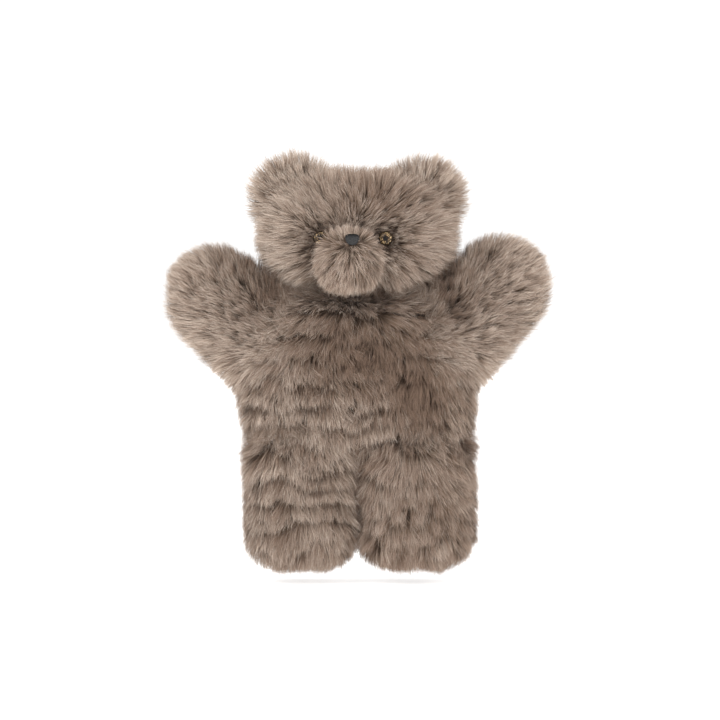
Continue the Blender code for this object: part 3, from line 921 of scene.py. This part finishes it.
def style_arm(side):
    """Darker and more upright at the top of the shoulder."""
    def style(points, normals):
        x, _, z = millimetres(points)
        looks = pile_style(points, normals, 16, 18, 58, 0.57, 41 + side, lock=0.3, lock_pitch=7)
        inner = np.exp(-((np.abs(x) - 62) / 22) ** 2) * np.clip(z - 160, 0, 25) / 25
        looks["tone"] -= 0.42 * inner
        looks["lean_tip"] -= 0.4 * inner
        return looks
    return style


def style_head(points, normals):
    """Darker at the brow, with painted shade round the foot of the muzzle and over the bear's left side, away
    from the key lamp; short by the eyes and muzzle.
    """
    x, y, z = millimetres(points)
    past_muzzle = inside_form(points, **MUZZLE) - 0.9
    looks = pile_style(points, normals, 17, 20, 60, 0.56, 51, lock=0.25, lock_pitch=7)
    brow = np.where(y < 0, bump(x, z, 4, 254, 26, 12), 0)
    # painted shade on the face round the foot of the muzzle
    looks["tone"] -= 0.3 * np.where(y < 0, 1 - np.clip(past_muzzle / 0.5, 0, 1), 0)
    # the brow is darker, and painted shade deepens towards the bear's left side, away from the key lamp
    looks["tone"] -= 0.46 * brow + np.clip(x / 40, 0, 1) * 0.18
    looks["lean_tip"] -= 0.3 * brow
    near = np.ones(len(points))
    for eye in EYE_PLACES.values():
        near = np.minimum(near, np.clip((front_gap(points, eye) - 2) / 13, 0.40, 1))
    socket = np.where(y < 0, 1 - near, 0)
    looks["lean_root"] -= 0.3 * socket
    looks["lean_tip"] -= 0.9 * socket
    beside = np.clip(past_muzzle / 0.8, 0.6, 1)
    looks["length"] *= np.where(y < 0, near * beside, 1)
    return looks


def style_muzzle(points, normals):
    """Shorter and more upright near the nose, and paler above it."""
    looks = pile_style(points, normals, 13, 26, 68, 0.35, 61, lock=0.3)
    gap = front_gap(points, NOSE_PLACE)
    above = np.clip((points[:, 2] - NOSE_PLACE.z + 3 * MM) / (4 * MM), 0, 1)
    looks["length"] *= np.clip(gap / 12, 0.35, 1) * (1 - above) + 0.75 * above
    looks["lean_tip"] -= 0.5 * np.clip(1 - gap / 10, 0, 1)
    looks["tone"] += 0.16 * above
    return looks


def style_ear(side):
    """Pale pile, more upright than elsewhere."""
    def style(points, normals):
        return pile_style(points, normals, 15, 12, 42, 0.70, 71 + side, lock=0.2)
    return style


# ---------------------------------------------------------------- face, filling and lining

BACK, UP = Vector((0, 1, 0)), Vector((0, 0, 1))
NECK = at(0, 0, 190)
HAND_ROOM = dict(start=at(0, 0, 139.5), start_half=size(51.7, 16.7, 36.7), power=2.6)
# the hand opening, in millimetres, and the bare rim of hide round it
MOUTH_HEIGHT = 124
MOUTH_HALF = (44, 14)
MOUTH_CORNER = 9
MOUTH_BARE = 1.5
FINGER_BORE = 13.6
EYE_RADIUS = 5 * MM


def placed(piece, body, node):
    """What a piece rides on and the node it stands for, which is hidden: a leg's piece is baked in place, and
    any other moves with its body."""
    if body.startswith("leg"):
        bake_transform(piece)
    else:
        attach(piece, body)
    if node:
        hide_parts(node)
    return piece


def turned(profile, centre, axis, steps=40):
    """A solid of revolution; the profile is (radius, distance along the axis) pairs in millimetres."""
    form = bmesh.new()
    turn = UP.rotation_difference(axis)
    verts = [form.verts.new(centre + turn @ Vector((radius, 0, along)) * MM) for radius, along in profile]
    pairs = list(zip(verts, verts[1:]))
    if profile[0][0] > SMALL:
        pairs.append((verts[-1], verts[0]))
    edges = [form.edges.new(pair) for pair in pairs]
    bmesh.ops.spin(form, geom=verts + edges, cent=centre, axis=axis, angle=math.tau, steps=steps,
                   use_merge=True, use_duplicate=False)
    bmesh.ops.remove_doubles(form, verts=form.verts, dist=SMALL)
    bmesh.ops.recalc_face_normals(form, faces=form.faces)
    return form


def rolled(form, amount, spacing, seed):
    """Soft waves over a form, along its normals."""
    form.normal_update()
    waves = ripple(np.array([vert.co[:] for vert in form.verts]), spacing * MM, seed)
    for vert, wave in zip(form.verts, waves):
        vert.co += vert.normal * float(wave) * amount * MM
    return form


def finger_sleeve(foot, axis, radius, length):
    """A soft tube for a finger, open at its foot and domed at its far end."""
    inner = radius - 1.3
    dome = length - radius
    rows = 9
    profile = [(inner * math.cos(a), dome + inner * math.sin(a)) for a in np.linspace(math.pi / 2, 0, 7)]
    profile[0] = (0, dome + inner)
    profile += [(inner, dome * (1 - number / rows)) for number in range(1, rows)]
    profile += [(inner + 0.1, 0.3), (inner + 0.65, -0.1), (radius - 0.1, 0.3)]
    profile += [(radius, dome * number / rows) for number in range(1, rows)]
    profile += [(radius * math.cos(a), dome + radius * math.sin(a)) for a in np.linspace(0, math.pi / 2, 7)]
    profile[-1] = (0, length)
    return rolled(turned(profile, foot, axis, 36), 0.25, 9, 5)


def ring(centre, axis, radius, thickness):
    turns = [math.tau * number / 10 for number in range(10)]
    profile = [(radius + thickness * math.cos(t), 1.6 * thickness * math.sin(t)) for t in turns]
    return turned(profile, centre, axis, 64)


def slot_outline(inset, corner_steps=6, straight_steps=8):
    """The hand opening's rounded outline moved in, in millimetres across and above the soles."""
    half_width, half_height = MOUTH_HALF[0] - inset, MOUTH_HALF[1] - inset
    corner = MOUTH_CORNER - inset
    corners = []
    for quarter in range(4):
        side_x = 1 if quarter in (0, 3) else -1
        side_z = 1 if quarter in (0, 1) else -1
        for number in range(corner_steps + 1):
            angle = math.pi / 2 * (quarter + number / corner_steps)
            corners.append((side_x * (half_width - corner) + corner * math.cos(angle),
                            MOUTH_HEIGHT + side_z * (half_height - corner) + corner * math.sin(angle)))
    outline = []
    for (x, z), (next_x, next_z) in zip(corners, corners[1:] + corners[:1]):
        parts = straight_steps if math.hypot(next_x - x, next_z - z) > 5 else 1
        outline += [(x + (next_x - x) * k / parts, z + (next_z - z) * k / parts) for k in range(parts)]
    return outline


def slot_bar(near, far):
    """A bar through the back with the opening's outline."""
    form = bmesh.new()
    outline = slot_outline(0)
    face = form.faces.new([form.verts.new(at(x, near, z)) for x, z in outline])
    grown = bmesh.ops.extrude_face_region(form, geom=[face])
    moved = [part for part in grown["geom"] if isinstance(part, bmesh.types.BMVert)]
    bmesh.ops.translate(form, verts=moved, vec=BACK * (far - near) * MM)
    bmesh.ops.recalc_face_normals(form, faces=form.faces)
    return form


def opening_binding():
    """The bound edge of the hand opening: a folded strip with soft waves along it."""
    section = [(math.cos(math.tau * k / 14), math.sin(math.tau * k / 14)) for k in range(14)]
    form = bmesh.new()
    rows = []
    for out, deep in section:
        out = math.copysign(abs(out) ** 0.7, out)
        deep = 20 + 6.4 * math.copysign(abs(deep) ** 0.7, deep)
        rows.append([form.verts.new(at(x, deep, z)) for x, z in slot_outline(1.4 - out)])
    for row, after in zip(rows, rows[1:] + rows[:1]):
        for k in range(len(row)):
            j = (k + 1) % len(row)
            form.faces.new((row[k], row[j], after[j], after[k]))
    bmesh.ops.recalc_face_normals(form, faces=form.faces)
    return rolled(form, 0.2, 6, 8)


def binding_stitches():
    """Slanted whip stitches of thread over the binding's inner face."""
    form = bmesh.new()
    outline = slot_outline(2.6, corner_steps=4, straight_steps=24)
    for k in range(0, len(outline), 2):
        x, z = outline[k]
        next_x, next_z = outline[(k + 1) % len(outline)]
        along = Vector((next_x - x, 0, next_z - z)).normalized()
        start, end = at(x, 22.2, z) - along * 0.5 * MM, at(x, 24.8, z) + along * 0.5 * MM
        way = (end - start).normalized()
        first = way.cross(along).normalized()
        second = way.cross(first)
        rows = []
        for share, thick in ((0, 0.12), (0.3, 0.3), (0.7, 0.3), (1, 0.12)):
            centre = start.lerp(end, share)
            around = [(math.cos(math.tau * t / 6), math.sin(math.tau * t / 6)) for t in range(6)]
            rows.append([form.verts.new(centre + (first * c + second * s) * thick * MM) for c, s in around])
        for row, after in zip(rows, rows[1:]):
            for t in range(6):
                form.faces.new((row[t], row[(t + 1) % 6], after[(t + 1) % 6], after[t]))
        form.faces.new(rows[0][::-1])
        form.faces.new(rows[-1])
    bmesh.ops.recalc_face_normals(form, faces=form.faces)
    return form


def eye_form(centre):
    """A domed eye with a ribbed post behind it."""
    dome = [(5.0 * math.sin(a), -4.2 * math.cos(a)) for a in np.linspace(0, math.radians(84), 14)]
    profile = [(0, -4.2), *dome[1:], (4.95, -0.1), (4.7, 0.15), (1.6, 0.2)]
    for number in range(4):
        foot = 2.2 + 3.3 * number
        profile += [(1.4, foot), (1.68, foot + 0.9), (1.4, foot + 1.1)]
    profile += [(1.4, 15.9), (1.0, 16.4), (0, 16.5)]
    return turned(profile, centre, BACK, 40)


def polar_uv(mesh, centre, radius):
    """The angle round the eye across, and the distance from its middle up."""
    layer = mesh.uv_layers.new(name="OFBake")
    for face in mesh.polygons:
        middle = face.center - centre
        turn = math.atan2(middle.z, middle.x)
        behind = middle.y > 0
        for loop in face.loop_indices:
            gap = mesh.vertices[mesh.loops[loop].vertex_index].co - centre
            out = math.hypot(gap.x, gap.z)
            off = 0 if out < SMALL else math.remainder(math.atan2(gap.z, gap.x) - turn, math.tau)
            share = 0.99 - 0.05 * out / radius if behind else min(0.93, 0.93 * out / radius)
            layer.uv[loop].vector = (min(0.998, max(0.002, (turn + off) / math.tau + 0.5)), max(0.002, share))


def nose_form():
    """A stuffed leather patch, wide at the top and narrow at the foot."""
    form = bmesh.new()
    bmesh.ops.create_uvsphere(form, u_segments=36, v_segments=20, radius=1)
    tilt = math.radians(-28)
    for vert in form.verts:
        across, up, front = vert.co
        out = math.hypot(across, up)
        scale = 0
        if out > SMALL:
            scale = (abs(across) ** 2.8 + abs(up) ** 2.8) ** (-1 / 2.8) * out
        groove = 0.25 * math.exp(-(across / 0.25) ** 2)
        x = 4.5 * (1 + 0.24 * up) * across * scale
        z = 4.2 * up * scale
        y = -1.4 * front * (1 - groove) if front > 0 else -3.2 * front
        vert.co = NOSE_PLACE + Vector((x, y * math.cos(tilt) - z * math.sin(tilt),
                                       y * math.sin(tilt) + z * math.cos(tilt))) * MM
    bmesh.ops.recalc_face_normals(form, faces=form.faces)
    return form


def wadding(part, body, shape, cutters=()):
    """Loose fill that takes the shape of the hide round it."""
    name = f"{part}_fill"
    form = rolled(hide_form(**shape), 0.7, 8, len(name))
    if cutters:
        form = carved(form, cutters)
    placed(new_piece(name, form, FILLING), body, f"{part}_stuffing")


def rod(start, end, radius):
    length = (end - start).length / MM
    return turned([(0, 0), (radius, 0), (radius, length), (0, length)], start, (end - start).normalized(), 32)


# ---------------------------------------------------------------- making

WEAVE = weave_group()
PILE = sheepskin_pile()
LINING = cloth("lining_cotton", ((0.2, (0.30, 0.235, 0.175)), (0.8, (0.56, 0.47, 0.375))), 9000)
TAPE = cloth("binding_tape", ((0.2, (0.16, 0.115, 0.085)), (0.8, (0.33, 0.25, 0.19))), 6500)
THREAD = cloth("sewing_thread", ((0.2, (0.34, 0.27, 0.21)), (0.8, (0.60, 0.50, 0.41))), 12000)
FILLING = fibre_filling()
LEATHER = nose_leather()
GLASS = eye_glass()
NYLON = moulded_nylon()
make_studio()

LIMBS = (ARMS[1], ARMS[-1], LEGS[1], LEGS[-1])
# each pelt has its own seed: its half's, and this much for its part
SEEDS = {True: 100, False: 200}
MUZZLE_SEED = 300
for is_front, seed in SEEDS.items():
    half = "front" if is_front else "back"
    cover(f"body_{half}", "torso", TORSO, is_front, flow_torso, style_torso, seed + 1,
          [(limb, 0.85) for limb in LIMBS], mouth=not is_front)
    cover(f"head_{half}", "head", HEAD, is_front, flow_head, style_head, seed + 2, [(MUZZLE, 0.9)])
    for sign, name in SIDE_NAMES.items():
        cover(f"ear_{name}_{half}", "head", EARS[sign], is_front, flow_ear(sign), style_ear(sign),
              seed + 10 + sign, [(HEAD, 0.9)])
        cover(f"arm_{name}_{half}", f"arm_{name}", ARMS[sign], is_front, flow_arm(sign), style_arm(sign),
              seed + 20 + sign, [(TORSO, 0.75)])
        cover(f"leg_{name}_{half}", f"leg_{name}", LEGS[sign], is_front, flow_leg(sign), style_leg(sign),
              seed + 30 + sign, [(TORSO, 0.8)])
cover("muzzle", "head", MUZZLE, None, flow_muzzle, style_muzzle, MUZZLE_SEED, [(HEAD, 0.9)])

placed(new_piece("leather_nose", nose_form(), LEATHER), "head", "nose_patch")
for sign, name in SIDE_NAMES.items():
    eye = new_piece(f"safety_eye_{name}", eye_form(EYE_PLACES[sign]), GLASS)
    polar_uv(eye.data, EYE_PLACES[sign], EYE_RADIUS)
    placed(eye, "head", f"eye_{name}")
    washer = bpy.data.objects[f"eye_washer_{name}"]
    washer.data.materials.clear()
    washer.data.materials.append(NYLON)

head_bore = rod(at(0, 0, 185), at(0, 0, 253.5), FINGER_BORE)
head_room = dict(start=at(0, 0, 238), start_half=size(46, 23, 27), power=2.6)
wadding("head", "head", head_room, [head_bore])
wadding("muzzle", "head", dict(start=at(-5.5, -33, 216), start_half=size(11, 9, 11), power=2.0))
stall = new_piece("head_finger_stall", finger_sleeve(at(0, 0, 193), UP, 13, 59), LINING)
placed(stall, "head", "head_finger_sleeve")
placed(new_piece("neck_tape", ring(NECK, UP, 16, 0.9), TAPE), "neck", "neck_seam_tape")

ARM_FINGERS = []
for sign, name in SIDE_NAMES.items():
    pivot, paw = at(60 * sign, 0, 165), at(102 * sign, 0, 198)
    along = (paw - pivot).normalized()
    foot = pivot - along * 6 * MM
    ARM_FINGERS.append((foot, along))
    stall = new_piece(f"arm_{name}_finger_stall", finger_sleeve(foot, along, 13.4, 46), LINING)
    placed(stall, f"arm_{name}", f"arm_{name}_finger_sleeve")
    pad = dict(start=pivot + along * 52 * MM, start_half=size(11.5, 12, 11.5), power=2.1)
    wadding(f"paw_{name}", f"arm_{name}", pad)
    # the armhole is a circle of radius 20 on the joint's ball of radius 30
    armhole = pivot - along * math.sqrt(30**2 - 20**2) * MM
    tape = new_piece(f"armhole_{name}_tape", ring(armhole, along, 20, 0.9), TAPE)
    placed(tape, f"shoulder_{name}", f"armhole_{name}_seam_tape")
    wadding(f"leg_{name}", f"leg_{name}", shrunk(LEGS[sign], 7 * MM))

for is_front in (True, False):
    half = "front" if is_front else "back"
    outer = half_of(rolled(hide_form(**HAND_ROOM), 0.6, 14, 4), is_front)
    room = rolled(hide_form(**shrunk(HAND_ROOM, 1.2 * MM)), 0.6, 14, 4)
    tools = [room, rod(at(0, 0, 165), at(0, 0, 200), FINGER_BORE)]
    tools += [rod(foot - along * 25 * MM, foot + along * 30 * MM, 14) for foot, along in ARM_FINGERS]
    if not is_front:
        tools.append(slot_bar(6, 40))
    lining = new_piece(f"lining_{half}", carved(outer, tools), LINING)
    placed(lining, "torso", f"body_lining_{half}")
placed(new_piece("opening_binding", opening_binding(), TAPE), "torso", "opening_hem")
placed(new_piece("opening_stitches", binding_stitches(), THREAD), "torso", None)
